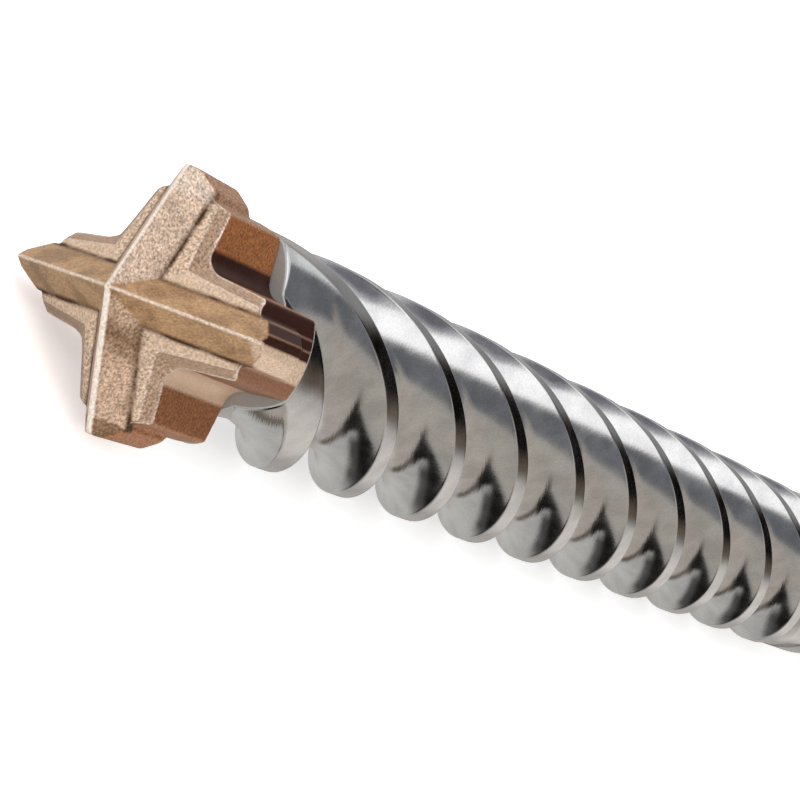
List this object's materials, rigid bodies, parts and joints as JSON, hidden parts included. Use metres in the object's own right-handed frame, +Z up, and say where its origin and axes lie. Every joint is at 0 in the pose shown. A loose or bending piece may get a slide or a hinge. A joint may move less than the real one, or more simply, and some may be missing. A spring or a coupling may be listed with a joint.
{
  "type": "rotary hammer drill bit",
  "caption": "Masonry drill bit for a rotary hammer: cross-shaped carbide head, deep right-hand flutes between narrow lands, and a heavy slotted shank.",
  "frame": {"origin": "centre of the shank's flat striking face, on the axis of the bit", "axes": "+X along the bit from the shank to the cutting tip; +Z up when the bit lies on two of its four arms and on its lands; +Y to the side"},
  "size_m": [0.37, 0.0234, 0.0234],
  "materials": {
    "carbide": "sintered, copper tinted, with worn bright edges",
    "steel": "ground and shot-peened bright steel"
  },
  "bodies": {
    "root": {"carbide_head": "carbide", "steel_body": "steel"}
  },
  "joints": []
}
